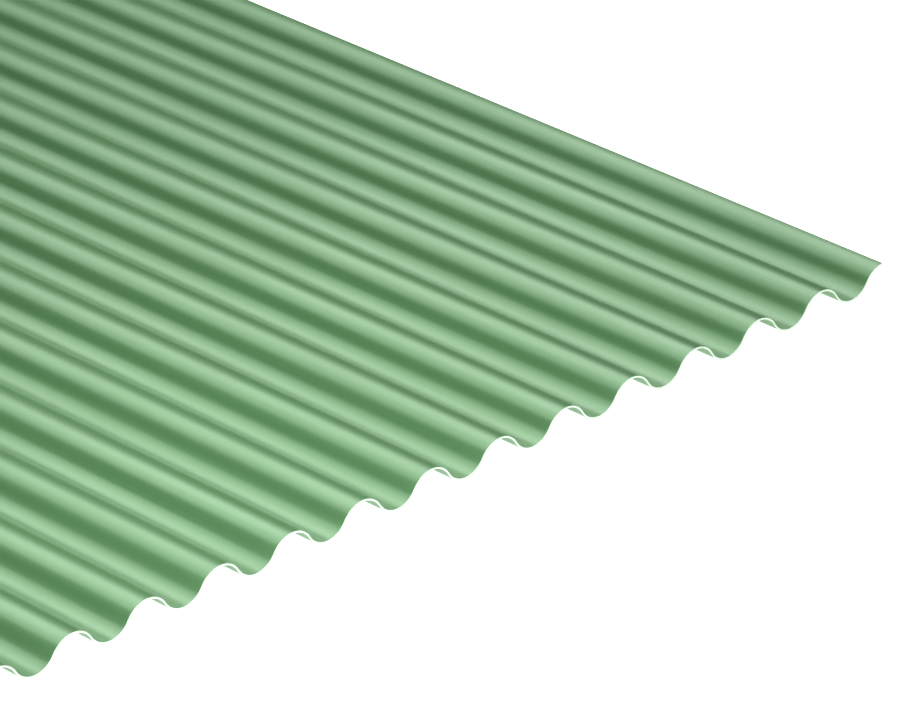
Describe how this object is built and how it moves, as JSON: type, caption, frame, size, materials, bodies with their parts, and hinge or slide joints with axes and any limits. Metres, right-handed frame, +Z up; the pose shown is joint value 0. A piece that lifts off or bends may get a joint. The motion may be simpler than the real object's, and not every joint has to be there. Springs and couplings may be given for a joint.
{
  "type": "corrugated pvc sheet",
  "caption": "Single-skin rigid PVC roofing and cladding sheet with round waves along its length and square-cut ends.",
  "frame": {"origin": "under the middle of the sheet, on the level floor that the trough undersides rest on", "axes": "+X along the waves (the length), +Y across the waves towards the edge that ends on a crest, +Z up"},
  "size_m": [2, 1.1, 0.023],
  "materials": {
    "rigid_pvc": "smooth extruded rigid PVC, opaque light green, satin gloss, with plain sawn edges"
  },
  "bodies": {
    "root": {"corrugated_sheet": "rigid_pvc"}
  },
  "joints": []
}
